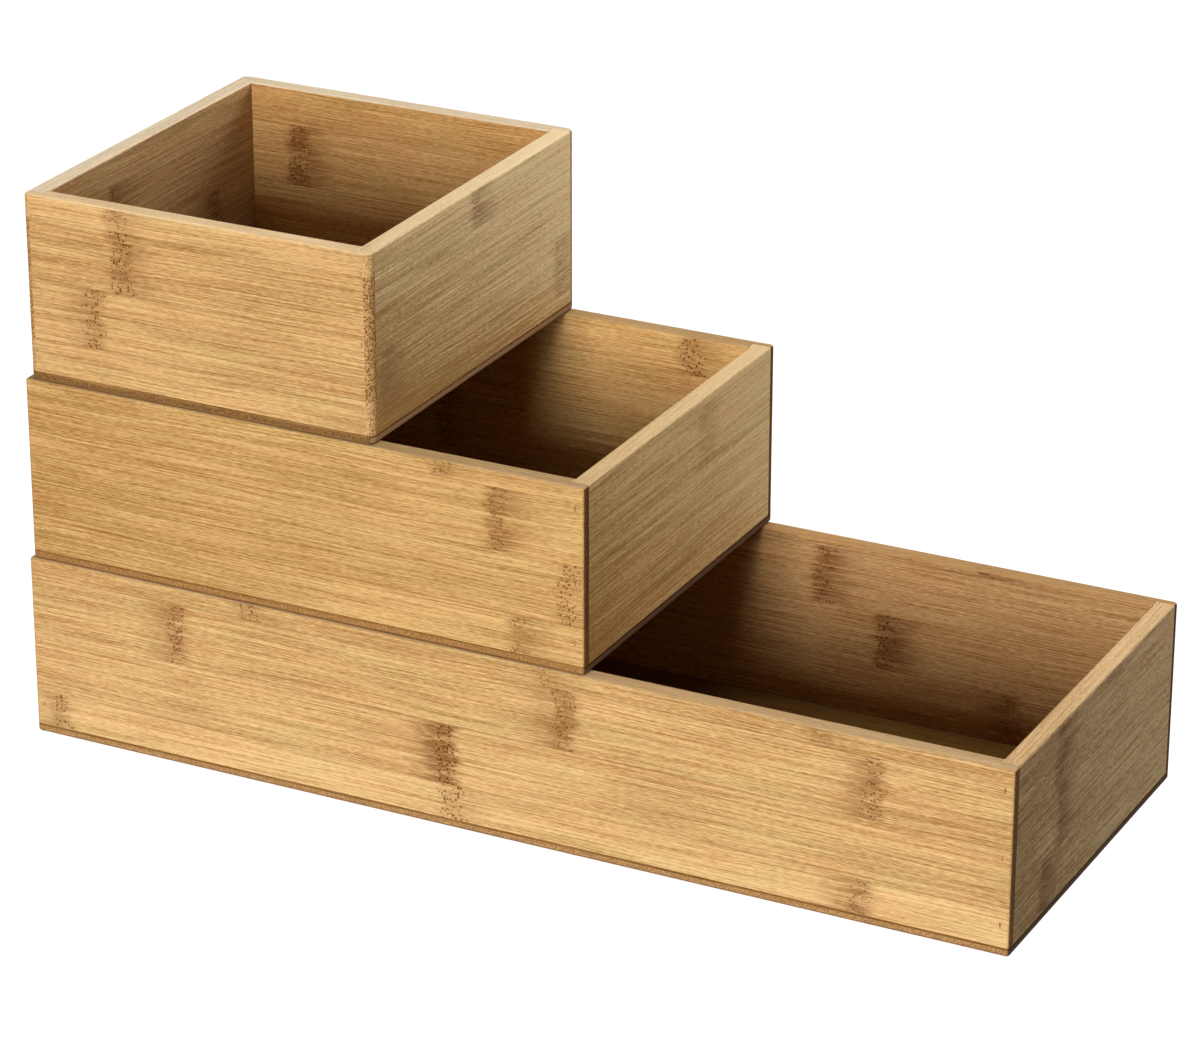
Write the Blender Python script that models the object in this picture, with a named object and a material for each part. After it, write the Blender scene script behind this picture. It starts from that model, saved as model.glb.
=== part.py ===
"""Compartment organizer: three open bamboo boxes of one depth and height, stacked by their left ends.

Metres, +Z up. The origin is the middle of the large box's underside, +X runs along the boxes towards
their right ends and -Y is the front. Each box is five boards and twelve brads: a thin base panel under
four walls, where the front and back walls cover the ends of the side walls and are nailed into them.
"""

from dataclasses import dataclass
from math import pi

import bmesh
import bpy
from mathutils import Matrix, Vector

MM = 0.001

# Outer sizes of the boxes
BOX_DEPTH = 150 * MM
BOX_HEIGHT = 68.8 * MM
LARGE_LENGTH = 380 * MM
MIDDLE_LENGTH = 221 * MM
TOP_LENGTH = 138 * MM

# How the boxes stand on each other: left ends set in from the large box's, with a seating gap
MIDDLE_SET_IN = 2 * MM
TOP_SET_IN = 4.5 * MM
SEAT_GAP = 0.3 * MM

# Boards
WALL = 7 * MM
BASE_THICKNESS = 3.2 * MM
GLUE_GAP = 0.3 * MM
RABBET_LIP = 3.2 * MM

# Eased edges, sanded after the boards are joined
RIM_EASE = 1.0 * MM
BASE_EASE = 1.1 * MM
CORNER_ROUND = 1.3 * MM
TOP_CORNER_ROUND = 2.8 * MM
EASE_SEGMENTS = 3
CORNER_SEGMENTS = 4

# Brads, flat wire nails with a wider head
BRAD_LENGTH = 16 * MM
BRAD_THICKNESS = 0.7 * MM
BRAD_SHANK_WIDTH = 1.0 * MM
BRAD_HEAD_WIDTH = 1.7 * MM
BRAD_HEAD_DEPTH = 0.5 * MM
BRAD_NECK = 0.6 * MM
BRAD_POINT = 1.5 * MM
BRAD_POINT_SHARE = 0.3
BRAD_SET = 0.4 * MM
BRAD_MARGIN = 8 * MM
BRAD_CLEARANCE = 0.2 * MM
BRAD_HEIGHTS = ("low", "mid", "high")

# How far a cutter runs past the wood that it cuts
OVERRUN = 2 * MM


@dataclass(frozen=True)
class Box:
    """One open box: its outer length, where it stands, and how far its corners are rounded."""

    name: str
    length: float
    centre_x: float
    floor_z: float
    corner_round: float

    @property
    def half_length(self):
        """Half of the outer length."""
        return self.length / 2


LARGE_LEFT = -LARGE_LENGTH / 2
STACK_STEP = BOX_HEIGHT + SEAT_GAP

BOXES = (
    Box("large_box", LARGE_LENGTH, 0.0, 0.0, CORNER_ROUND),
    Box("middle_box", MIDDLE_LENGTH, LARGE_LEFT + MIDDLE_SET_IN + MIDDLE_LENGTH / 2, STACK_STEP, CORNER_ROUND),
    Box("top_box", TOP_LENGTH, LARGE_LEFT + TOP_SET_IN + TOP_LENGTH / 2, 2 * STACK_STEP, TOP_CORNER_ROUND),
)

HALF_DEPTH = BOX_DEPTH / 2
WALL_BOTTOM = BASE_THICKNESS + GLUE_GAP
WALL_HEIGHT = BOX_HEIGHT - WALL_BOTTOM


def empty_scene():
    """Remove what the opened file holds."""
    for obj in list(bpy.data.objects):
        bpy.data.objects.remove(obj, do_unlink=True)


def new_collection(name):
    """A collection of this name, in the scene."""
    collection = bpy.data.collections.new(name)
    bpy.context.scene.collection.children.link(collection)
    return collection


def principled(name, colour, roughness, metallic):
    """A plain material with one colour, roughness and metallic value."""
    material = bpy.data.materials.new(name)
    material.use_nodes = True
    shader = material.node_tree.nodes["Principled BSDF"]
    shader.inputs["Base Color"].default_value = (*colour, 1.0)
    shader.inputs["Roughness"].default_value = roughness
    shader.inputs["Metallic"].default_value = metallic
    material.diffuse_color = (*colour, 1.0)
    return material


def mesh_from(bm, name):
    """A mesh with the bmesh's faces, which then point outwards."""
    bmesh.ops.recalc_face_normals(bm, faces=bm.faces)
    mesh = bpy.data.meshes.new(name)
    bm.to_mesh(mesh)
    bm.free()
    return mesh


def place(mesh, name, collection, parent, location, turn=0.0):
    """An object in the collection, at a place and a turn about Z under its parent."""
    obj = bpy.data.objects.new(name, mesh)
    collection.objects.link(obj)
    obj.parent = parent
    obj.location = location
    obj.rotation_euler = (0.0, 0.0, turn)
    return obj


def place_cutter(mesh, name, collection, parent):
    """A cutter in its box's own frame, left out of renders."""
    cutter = place(mesh, name, collection, parent, (0.0, 0.0, 0.0))
    cutter.hide_render = True
    cutter.display_type = "WIRE"
    return cutter


def cut(obj, cutter):
    """Take the cutter's volume out of the object."""
    modifier = obj.modifiers.new(cutter.name, "BOOLEAN")
    modifier.operation = "DIFFERENCE"
    modifier.solver = "EXACT"
    modifier.object = cutter


def extrude_outline(bm, outline, bottom, height):
    """A board from its outline seen from above, raised from bottom by height."""
    corners = [bm.verts.new((x, y, bottom)) for x, y in outline]
    face = bm.faces.new(corners)
    raised = bmesh.ops.extrude_face_region(bm, geom=[face])["geom"]
    top = [item for item in raised if isinstance(item, bmesh.types.BMVert)]
    bmesh.ops.translate(bm, verts=top, vec=(0.0, 0.0, height))


def extrude_face(bm, face):
    """Extrude a face in place, and give the new one that takes its place on the outside."""
    raised = bmesh.ops.extrude_face_region(bm, geom=[face])["geom"]
    bmesh.ops.delete(bm, geom=[face], context="FACES_ONLY")
    return next(item for item in raised if isinstance(item, bmesh.types.BMFace))


def middle_of(edge):
    """The point halfway along an edge."""
    return (edge.verts[0].co + edge.verts[1].co) / 2


def is_upright(edge):
    """True for an edge that runs along Z."""
    run = edge.verts[1].co - edge.verts[0].co
    return abs(run.z) > abs(run.x) + abs(run.y)


def ease(bm, edges, radius, segments):
    """Round the edges to the radius."""
    bmesh.ops.bevel(bm, geom=edges, offset=radius, offset_type="OFFSET", affect="EDGES",
                    segments=segments, profile=0.5, material=-1, clamp_overlap=True)


def long_wall_mesh(box):
    """The front wall, outer face towards -Y; turned half round it is the back wall.

    Each end is rabbeted for the side wall down to a lip, and the rest of the thickness is a tongue that
    fits between the side walls.
    """
    half = box.half_length
    outer = -HALF_DEPTH
    lap = outer + RABBET_LIP
    tongue = half - WALL - GLUE_GAP
    inner = outer + WALL
    outline = [(-half, outer), (half, outer), (half, lap), (tongue, lap),
               (tongue, inner), (-tongue, inner), (-tongue, lap), (-half, lap)]

    bm = bmesh.new()
    extrude_outline(bm, outline, WALL_BOTTOM, WALL_HEIGHT)
    outer_corners = [edge for edge in bm.edges
                     if is_upright(edge) and middle_of(edge).y < outer + RABBET_LIP / 2]
    ease(bm, outer_corners, box.corner_round, CORNER_SEGMENTS)
    top = WALL_BOTTOM + WALL_HEIGHT
    outer_rim = [edge for edge in bm.edges
                 if middle_of(edge).z > top - RIM_EASE / 2 and middle_of(edge).y < lap - GLUE_GAP / 2]
    ease(bm, outer_rim, RIM_EASE, EASE_SEGMENTS)
    return mesh_from(bm, box.name + "_long_wall")


def side_wall_mesh(box):
    """The right wall, outer face towards +X; turned half round it is the left wall."""
    outer = box.half_length
    end = HALF_DEPTH - RABBET_LIP - GLUE_GAP
    bm = bmesh.new()
    outline = [(outer - WALL, -end), (outer, -end), (outer, end), (outer - WALL, end)]
    extrude_outline(bm, outline, WALL_BOTTOM, WALL_HEIGHT)
    top = WALL_BOTTOM + WALL_HEIGHT
    outer_rim = [edge for edge in bm.edges
                 if middle_of(edge).z > top - RIM_EASE / 2 and middle_of(edge).x > outer - WALL / 4]
    ease(bm, outer_rim, RIM_EASE, EASE_SEGMENTS)
    return mesh_from(bm, box.name + "_side_wall")


def base_panel_mesh(box):
    """The panel glued under the walls, as large as the box outside, with its lower edges eased."""
    bm = bmesh.new()
    bmesh.ops.create_cube(bm, size=1.0)
    bmesh.ops.scale(bm, vec=(box.length, BOX_DEPTH, BASE_THICKNESS), verts=bm.verts)
    bmesh.ops.translate(bm, vec=(0.0, 0.0, BASE_THICKNESS / 2), verts=bm.verts)
    ease(bm, [edge for edge in bm.edges if is_upright(edge)], box.corner_round, CORNER_SEGMENTS)
    lower = [edge for edge in bm.edges if middle_of(edge).z < BASE_THICKNESS / 4]
    ease(bm, lower, BASE_EASE, EASE_SEGMENTS)
    return mesh_from(bm, box.name + "_base_panel")


def rim_cutter_mesh(box):
    """What the sanding takes off the inner rim: the hollow's mouth, flared along a quarter round."""
    width = box.length - 2 * WALL
    depth = BOX_DEPTH - 2 * WALL
    top = WALL_BOTTOM + WALL_HEIGHT
    bm = bmesh.new()
    bmesh.ops.create_cube(bm, size=1.0)
    bmesh.ops.scale(bm, vec=(width - OVERRUN, depth - OVERRUN, OVERRUN), verts=bm.verts)
    bmesh.ops.translate(bm, vec=(0.0, 0.0, top - RIM_EASE - OVERRUN), verts=bm.verts)
    mouth = max(bm.faces, key=lambda face: face.calc_center_median().z)

    def widen(face, height, flare):
        """Raise the mouth to a height, flared by this much past the hollow on each side."""
        raised = extrude_face(bm, face)
        for vert in raised.verts:
            vert.co = Vector((
                (width / 2 + flare) * (1 if vert.co.x > 0 else -1),
                (depth / 2 + flare) * (1 if vert.co.y > 0 else -1),
                height,
            ))
        return raised

    mouth = widen(mouth, top - RIM_EASE, 0.0)
    for step in range(1, EASE_SEGMENTS + 1):
        turned = Matrix.Rotation(step / EASE_SEGMENTS * pi / 2, 2) @ Vector((1.0, 0.0))
        mouth = widen(mouth, top - RIM_EASE * (1 - turned.y), RIM_EASE * (1 - turned.x))
    widen(mouth, top + OVERRUN, RIM_EASE)
    return mesh_from(bm, box.name + "_rim_cutter")


def add_brad(bm, clearance=0.0, overrun=0.0):
    """A brad along +Y whose head starts at the origin, grown by a clearance on each side.

    An overrun carries the head out past its face, as a cutter needs. The grown form has no chisel
    point, so that it stays clear of the brad all the way down.
    """
    thickness = BRAD_THICKNESS + 2 * clearance
    head_width = BRAD_HEAD_WIDTH + 2 * clearance
    head_end = BRAD_HEAD_DEPTH + clearance
    bmesh.ops.create_cube(bm, size=1.0)
    bmesh.ops.scale(bm, vec=(thickness, head_end + overrun, head_width), verts=bm.verts)
    bmesh.ops.translate(bm, vec=(0.0, (head_end - overrun) / 2, 0.0), verts=bm.verts)

    def carry_on(face, end, thickness_share=1, width_share=1):
        """Extrude the face to a new end along Y, and scale it there."""
        carried = extrude_face(bm, face)
        for vert in carried.verts:
            vert.co = Vector((vert.co.x * thickness_share, end, vert.co.z * width_share))
        return carried

    face = max(bm.faces, key=lambda item: item.calc_center_median().y)
    face = carry_on(face, head_end + BRAD_NECK, width_share=(BRAD_SHANK_WIDTH + 2 * clearance) / head_width)
    if clearance:
        carry_on(face, BRAD_LENGTH + clearance)
    else:
        face = carry_on(face, BRAD_LENGTH - BRAD_POINT)
        carry_on(face, BRAD_LENGTH, thickness_share=BRAD_POINT_SHARE)


def brad_places(box):
    """Each brad of a box: its name, the middle of its head in the box's frame, and its turn about Z."""
    low = WALL_BOTTOM + BRAD_MARGIN
    high = WALL_BOTTOM + WALL_HEIGHT - BRAD_MARGIN
    side_wall_middle = box.half_length - WALL / 2
    head = HALF_DEPTH - BRAD_SET
    places = []
    for wall, toward, turn in (("front", -1, 0.0), ("back", 1, pi)):
        for end, side in (("left", -1), ("right", 1)):
            for index, height_name in enumerate(BRAD_HEIGHTS):
                height = low + (high - low) * index / (len(BRAD_HEIGHTS) - 1)
                name = f"{box.name}_brad_{wall}_{end}_{height_name}"
                places.append((name, Vector((side * side_wall_middle, toward * head, height)), turn))
    return places


def pocket_cutter_mesh(box):
    """The pockets that the box's brads sit in, open at the outer faces."""
    bm = bmesh.new()
    for _, head, turn in brad_places(box):
        pocket = bmesh.new()
        add_brad(pocket, clearance=BRAD_CLEARANCE, overrun=BRAD_SET + OVERRUN)
        pocket.transform(Matrix.Translation(head) @ Matrix.Rotation(turn, 4, "Z"))
        piece = bpy.data.meshes.new("pocket")
        pocket.to_mesh(piece)
        pocket.free()
        bm.from_mesh(piece)
        bpy.data.meshes.remove(piece)
    return mesh_from(bm, box.name + "_pockets")


def build_box(box, parts, cutters, bamboo, base_bamboo, brad_mesh):
    """The boards and brads of one box, under an empty at the middle of its underside."""
    frame = bpy.data.objects.new(box.name, None)
    frame.location = (box.centre_x, 0.0, box.floor_z)
    frame.empty_display_size = WALL
    parts.objects.link(frame)

    rim = place_cutter(rim_cutter_mesh(box), box.name + "_rim_cutter", cutters, frame)
    pockets = place_cutter(pocket_cutter_mesh(box), box.name + "_pocket_cutter", cutters, frame)

    at_frame = (0.0, 0.0, 0.0)
    long_wall = long_wall_mesh(box)
    side_wall = side_wall_mesh(box)
    for mesh, name, turn in ((long_wall, "front", 0.0), (long_wall, "back", pi),
                             (side_wall, "right", 0.0), (side_wall, "left", pi)):
        wall = place(mesh, f"{box.name}_{name}_wall", parts, frame, at_frame, turn)
        cut(wall, rim)
        cut(wall, pockets)
    for mesh in (long_wall, side_wall):
        mesh.materials.append(bamboo)

    base = base_panel_mesh(box)
    base.materials.append(base_bamboo)
    place(base, box.name + "_base_panel", parts, frame, at_frame)

    for name, head, turn in brad_places(box):
        place(brad_mesh, name, parts, frame, head, turn)


def main():
    """Build the three boxes."""
    empty_scene()
    parts = new_collection("compartment_organizer")
    cutters = new_collection("cutters")
    bamboo = principled("bamboo", (0.62, 0.40, 0.18), 0.5, 0.0)
    base_bamboo = principled("base_bamboo", (0.38, 0.21, 0.09), 0.6, 0.0)
    steel = principled("brad_steel", (0.55, 0.54, 0.52), 0.35, 1.0)

    bm = bmesh.new()
    add_brad(bm)
    brad_mesh = mesh_from(bm, "brad")
    brad_mesh.materials.append(steel)
    for box in BOXES:
        build_box(box, parts, cutters, bamboo, base_bamboo, brad_mesh)


main()
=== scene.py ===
"""A stack of three open bamboo boxes, dressed board by board and set in a plain pale studio.

Every board is laid up from bamboo strips: its mesh is cut along the strips, and each face carries the
strip and the knot that it belongs to, which the bamboo finish reads.
"""

import logging
import math
import random
from dataclasses import dataclass, field
from enum import Enum

import bmesh
import bpy
from bmesh.types import BMEdge, BMesh, BMFace, BMVert
from mathutils import Matrix, Vector


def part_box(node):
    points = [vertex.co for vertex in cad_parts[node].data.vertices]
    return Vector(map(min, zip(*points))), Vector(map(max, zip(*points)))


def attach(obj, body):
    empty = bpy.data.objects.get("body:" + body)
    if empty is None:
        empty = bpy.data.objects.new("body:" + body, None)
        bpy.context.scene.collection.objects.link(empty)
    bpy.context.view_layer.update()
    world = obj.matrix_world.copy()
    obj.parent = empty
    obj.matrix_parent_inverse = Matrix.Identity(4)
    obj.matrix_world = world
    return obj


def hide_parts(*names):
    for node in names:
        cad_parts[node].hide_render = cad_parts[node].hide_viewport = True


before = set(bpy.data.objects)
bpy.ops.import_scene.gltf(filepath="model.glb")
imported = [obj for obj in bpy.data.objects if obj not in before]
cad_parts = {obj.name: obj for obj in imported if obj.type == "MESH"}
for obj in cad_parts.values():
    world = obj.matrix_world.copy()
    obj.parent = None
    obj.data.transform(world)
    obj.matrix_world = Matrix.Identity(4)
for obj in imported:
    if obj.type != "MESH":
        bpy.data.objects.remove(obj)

LOG = logging.getLogger("box_stack")

MM = 0.001
TOUCH = 0.01 * MM
ON_THE_CUT = 1e-7
SHARP_ANGLE = math.radians(35)
Colour = tuple[float, float, float]
Place = tuple[float, float, float]
Material = bpy.types.Material
Piece = bpy.types.Object
Socket = bpy.types.NodeSocket
Value = float | Socket
AXES = (Vector((1, 0, 0)), Vector((0, 1, 0)), Vector((0, 0, 1)))


class Grain(Enum):
    """Which axes run along the fibres, across the strips and through the board."""

    WALL_ALONG_X = (0, 2, 1)
    WALL_ALONG_Y = (1, 2, 0)
    PANEL_ALONG_X = (0, 1, 2)
    PANEL_ALONG_Y = (1, 0, 2)


class Side(Enum):
    """A wall of a box, and how far round from the front or the right one it is turned."""

    FRONT = ("front", 0.0)
    BACK = ("back", math.pi)
    RIGHT = ("right", 0.0)
    LEFT = ("left", math.pi)


# ---------------------------------------------------------------- finishes


class Bench:
    """Adds and links the nodes of one shader tree."""

    def __init__(self, tree: bpy.types.NodeTree) -> None:
        """Work on this tree."""
        self.tree = tree

    def feed(self, socket: Socket, value: Value | Colour | Vector) -> None:
        """Link a socket into this one, or set its value."""
        if isinstance(value, Socket):
            self.tree.links.new(value, socket)
        elif socket.type == "RGBA":
            socket.default_value = (*value, 1.0)
        else:
            socket.default_value = value

    def add(self, kind: str, inputs: dict[int | str, Value | Colour] | None = None,
            **settings: str | bool) -> bpy.types.Node:
        """Add a node.

        Args:
            kind: The node's type name.
            inputs: What goes to its sockets, by their index or name.
            settings: Values of the node's own properties.

        Returns:
            The new node.
        """
        node = self.tree.nodes.new(kind)
        for key, value in settings.items():
            setattr(node, key, value)
        for key, value in (inputs or {}).items():
            self.feed(node.inputs[key], value)
        return node

    def math(self, operation: str, a: Value, b: Value = 0.0, c: Value = 0.0) -> Socket:
        """Do arithmetic on up to three values."""
        inputs = {0: a, 1: b, 2: c}
        return self.add("ShaderNodeMath", inputs, operation=operation).outputs[0]

    def times(self, first: Value, *others: Value) -> Socket:
        """Multiply values, from the first on."""
        for value in others:
            first = self.math("MULTIPLY", first, value)
        return first

    def plus(self, first: Value, *others: Value) -> Socket:
        """Add values, from the first on."""
        for value in others:
            first = self.math("ADD", first, value)
        return first

    def fade(self, value: Value, start: float, end: float, low: float = 0.0, high: float = 1.0) -> Socket:
        """Go smoothly from low to high while the value goes from start to end."""
        node = self.add("ShaderNodeMapRange", {0: value, 1: start, 2: end, 3: low, 4: high},
                        interpolation_type="SMOOTHSTEP")
        return node.outputs[0]

    def split(self, vector: Socket) -> tuple[Socket, Socket, Socket]:
        """Take a vector apart."""
        node = self.add("ShaderNodeSeparateXYZ", {0: vector})
        return tuple(node.outputs)

    def join(self, x: Value, y: Value, z: Value) -> Socket:
        """Make a vector."""
        return self.add("ShaderNodeCombineXYZ", {0: x, 1: y, 2: z}).outputs[0]

    def scaled(self, place: tuple[Socket, ...], rates: Place) -> Socket:
        """Make noise coordinates that run at these rates per millimetre."""
        return self.join(*(self.times(part, rate) for part, rate in zip(place, rates)))

    def attribute(self, name: str) -> tuple[Socket, Socket, Socket]:
        """Read a vector that the mesh's faces carry."""
        return self.split(self.add("ShaderNodeAttribute", attribute_name=name).outputs["Vector"])

    def shade(self, name: str) -> Socket:
        """Read a colour that the mesh's faces carry."""
        return self.add("ShaderNodeAttribute", attribute_name=name).outputs["Color"]

    def place(self) -> tuple[Socket, Socket, Socket]:
        """Give the place on the object in millimetres."""
        coordinates = self.add("ShaderNodeTexCoord").outputs["Object"]
        scaled = self.add("ShaderNodeVectorMath", {0: coordinates, 3: 1 / MM}, operation="SCALE")
        return self.split(scaled.outputs[0])

    def facing(self) -> tuple[Socket, Socket, Socket]:
        """Give the way that the surface faces."""
        return self.split(self.add("ShaderNodeNewGeometry").outputs["Normal"])

    def noise(self, vector: Socket, detail: float = 2.0, roughness: float = 0.5) -> Socket:
        """Soft noise between 0 and 1, about one swell per unit."""
        inputs = {"Vector": vector, "Scale": 1.0, "Detail": detail, "Roughness": roughness}
        return self.add("ShaderNodeTexNoise", inputs).outputs[0]

    def cells(self, vector: Socket) -> tuple[Socket, Socket]:
        """Scattered points about one unit apart: the distance to the nearest, and a number of its own."""
        node = self.add("ShaderNodeTexVoronoi", {"Vector": vector, "Scale": 1.0})
        return node.outputs["Distance"], self.split(node.outputs["Color"])[0]

    def mix(self, factor: Value, a: Socket | Colour, b: Socket | Colour, how: str = "MIX") -> Socket:
        """Blend two colours.

        Args:
            factor: How much of the second colour shows.
            a: The first colour.
            b: The second colour.
            how: The blend type.

        Returns:
            The blended colour.
        """
        node = self.add("ShaderNodeMix", {0: factor, 6: a, 7: b}, data_type="RGBA", blend_type=how)
        return node.outputs[2]


class MaterialBench(Bench):
    """Sets up one material with its Principled shader."""

    def __init__(self, name: str) -> None:
        """Start a material of this name."""
        self.material = bpy.data.materials.new(name)
        self.material.use_nodes = True
        super().__init__(self.material.node_tree)
        self.shader = self.tree.nodes["Principled BSDF"]

    def dress(self, colour: Socket, roughness: Socket, gloss: float, relief: Socket,
              depth_mm: float) -> Material:
        """Feed the shader.

        Args:
            colour: The surface's own colour.
            roughness: How matt it is.
            gloss: Its specular level, the same all over.
            relief: Its height, from 0 to 1.
            depth_mm: How deep the relief is, in millimetres.

        Returns:
            The finished material.
        """
        self.feed(self.shader.inputs["Base Color"], colour)
        self.feed(self.shader.inputs["Roughness"], roughness)
        self.shader.inputs["Specular IOR Level"].default_value = gloss
        bump = self.add("ShaderNodeBump", {"Height": relief, "Strength": 1.0, "Distance": depth_mm * MM})
        self.feed(self.shader.inputs["Normal"], bump.outputs[0])
        return self.material


@dataclass(frozen=True)
class BambooTones:
    """The colours of one batch of bamboo, as linear light, and how steeply a cut must slant to show end grain.
    The rim colours hold painted top light and sheen, and the floor colour, which multiplies the inside of a base
    panel, is painted light and shade.
    """

    pale: Colour = (0.82, 0.56, 0.25)
    deep: Colour = (0.36, 0.18, 0.048)
    vein: Colour = (0.26, 0.125, 0.034)
    stain: Colour = (0.29, 0.135, 0.042)
    pore: Colour = (0.15, 0.043, 0.002)
    blush: Colour = (1.035, 0.972, 0.94)
    straw: Colour = (0.988, 1.012, 0.955)
    end: Colour = (0.22, 0.105, 0.034)
    end_dot: Colour = (0.11, 0.05, 0.018)
    end_slant: tuple[float, float] = (0.5, 0.85)
    # The sanded rim's colours, with painted top light and sheen in them
    rim_pale_with_painted_light: Colour = (0.86, 0.62, 0.32)
    rim_deep_with_painted_light: Colour = (0.60, 0.39, 0.17)
    # Multiplies the upward faces inside a base panel: painted shade where it darkens, painted light where it brightens
    floor: Colour = (0.8, 0.92, 1.1)


@dataclass(frozen=True)
class Swell:
    """One layer of the bamboo's figure.

    Length and width are those of its swells in millimetres, shift keeps it apart from the other layers, and
    strength is how much it does.
    """

    length: float
    width: float
    shift: float
    strength: float = 1.0


@dataclass(frozen=True)
class BambooFigure:
    """The layers of the figure: first those that shade it, then those that bend the fibres and the knots, in mm."""

    fibre: Swell = Swell(38, 0.40, 1, 1.9)
    dash: Swell = Swell(2.8, 0.27, 9, 1.55)
    band: Swell = Swell(90, 2.6, 2, 0.36)
    cloud: Swell = Swell(60, 14, 4, 0.35)
    vein: Swell = Swell(48, 0.9, 6, 0.31)
    hair: Swell = Swell(7, 0.6, 8, 0.20)
    hue: Swell = Swell(45, 7, 12)
    blotch: Swell = Swell(9, 4.2, 11)
    row: Swell = Swell(14, 0.7, 15)
    sway: Swell = Swell(70, 25, 7, 3.2)
    crowd: Swell = Swell(5, 2.6, 5, 2.2)
    wander: Swell = Swell(400, 6, 3, 6.5)
    girth: Swell = Swell(300, 5, 17, 7.0)
    fray: Swell = Swell(11, 0.8, 13, 8.0)
    strips_apart: tuple[float, float] = (31.7, 57.3)


@dataclass(frozen=True)
class BambooFinish:
    """Planed, sanded and lightly oiled bamboo: fibres, veins, strip seams, knots and dotted end grain."""

    name: str
    grain: Grain
    tones: BambooTones = field(default_factory=BambooTones)
    layers: BambooFigure = field(default_factory=BambooFigure)
    gloss: float = 0.04
    relief_mm: float = 0.10

    def build(self) -> Material:
        """Make the material.

        Returns:
            The material, which reads the faces' strip, knot and growth marks, and their tint, rim and slope marks,
            which carry painted light and shade.
        """
        bench = MaterialBench(self.name)
        tones, layers = self.tones, self.layers
        place = bench.place()
        along, across, through = run = tuple(place[axis] for axis in self.grain.value)
        low, high, tone = bench.attribute("strip")
        centre, stain, lean = bench.attribute("knot")
        pores, seed, figure = bench.attribute("growth")
        painted_light_along, painted_light_across, _ = bench.attribute("painted_light_slope")

        def grow(layer: Swell, height: Value = across) -> Socket:
            """Make a layer's noise coordinates, apart for each strip."""
            apart = [bench.math("MULTIPLY_ADD", seed, rate, layer.shift) for rate in layers.strips_apart]
            return bench.join(bench.plus(bench.times(along, 1 / layer.length), apart[0]),
                              bench.plus(bench.times(height, 1 / layer.width), apart[1]),
                              bench.times(through, 1 / layer.width))

        def swing(value: Socket, layer: Swell) -> Socket:
            """Turn noise to swing around zero by a layer's strength."""
            return bench.math("MULTIPLY_ADD", value, layer.strength, -layer.strength / 2)

        # How far from the knot's line, which wanders up the strip
        wander = swing(bench.noise(grow(layers.wander)), layers.wander)
        offset = bench.math("SUBTRACT", bench.math("SUBTRACT", along, centre), wander)
        near = bench.math("ABSOLUTE", offset)
        bend = bench.fade(near, 11, 1)

        # Fibres run almost straight, and crowd a little at a knot
        sway = swing(bench.noise(grow(layers.sway), 1), layers.sway)
        crowd = bench.times(swing(bench.noise(grow(layers.crowd), 1), layers.crowd), bench.times(bend, stain))
        height = bench.plus(across, bench.plus(sway, crowd))
        fibre, dash, band, cloud = (
            bench.noise(grow(layer, height)) for layer in (layers.fibre, layers.dash, layers.band, layers.cloud))
        vein_gap, vein_mark = bench.cells(grow(layers.vein, height))
        vein = bench.times(bench.fade(vein_gap, 0.32, 0.08), bench.fade(vein_mark, 0.35, 0.95))
        hair_gap, hair_mark = bench.cells(grow(layers.hair, height))
        hair = bench.times(bench.fade(hair_gap, 0.36, 0.1), bench.fade(hair_mark, 0.3, 1.0))

        # The figure, the strip's tone, and the board's slope of painted light and shade along and across it
        light = bench.plus(
            bench.times(bench.plus(swing(fibre, layers.fibre), swing(dash, layers.dash)), figure),
            bench.plus(swing(band, layers.band), swing(cloud, layers.cloud), tone),
            bench.plus(bench.times(along, painted_light_along), bench.times(across, painted_light_across)))
        colour = bench.mix(light, tones.deep, tones.pale)
        colour = bench.mix(bench.times(vein, layers.vein.strength), colour, tones.vein)
        colour = bench.mix(bench.times(hair, layers.hair.strength), colour, tones.vein)
        hue = bench.fade(bench.noise(grow(layers.hue, height)), 0.32, 0.68)
        colour = bench.mix(1.0, colour, bench.mix(hue, tones.blush, tones.straw), "MULTIPLY")

        # The seam between two strips
        edge = bench.math("MINIMUM", bench.math("SUBTRACT", across, low), bench.math("SUBTRACT", high, across))
        seam = bench.times(bench.fade(bench.math("ABSOLUTE", edge), 0.3, 0.06), bench.fade(band, 0.3, 0.7, 0.15, 0.55))
        colour = bench.mix(seam, colour, tones.vein)

        # The knot: a stain that leans to one side, a mottled column with ragged ends, and its pores
        girth = swing(bench.noise(grow(layers.girth)), layers.girth)
        fray = swing(bench.noise(grow(layers.fray, height), 2, 0.6), layers.fray)
        ragged = bench.plus(near, bench.plus(girth, fray))
        blotch = bench.noise(grow(layers.blotch), 3, 0.6)
        rows = bench.fade(bench.noise(grow(layers.row, height), 1), 0.34, 0.6, 0.45, 1.15)
        reach = bench.fade(bench.times(offset, lean), -2.5, 3.5, 7.0, 17)
        halo = bench.fade(bench.math("DIVIDE", ragged, reach), 1.1, 0.0)
        halo = bench.times(halo, bench.fade(blotch, 0.28, 0.58, 0.3, 1.0), rows)
        mottled = bench.join(along, bench.plus(bench.times(across, 1.2), seed), through)
        mottle = bench.fade(bench.noise(mottled, 3, 0.7), 0.36, 0.60, 0.40, 1.0)
        column = bench.times(bench.fade(ragged, 6.0, 1.5), mottle, bench.fade(blotch, 0.28, 0.52, 0.5, 1.15), rows)
        colour = bench.mix(bench.times(bench.math("MAXIMUM", halo, column), stain), colour, tones.stain)
        dot_gap, dot_mark = bench.cells(bench.join(
            bench.times(along, 0.92), bench.plus(bench.times(across, 0.98), bench.times(seed, 9)), through))
        dot = bench.fade(bench.math("MULTIPLY_ADD", dot_mark, 0.45, dot_gap), 0.73, 0.36)
        dot = bench.times(dot, bench.times(bench.fade(ragged, 5.2, 2.6), pores))
        colour = bench.mix(bench.math("MINIMUM", bench.times(dot, 1.15), 0.92), colour, tones.pore)

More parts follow.
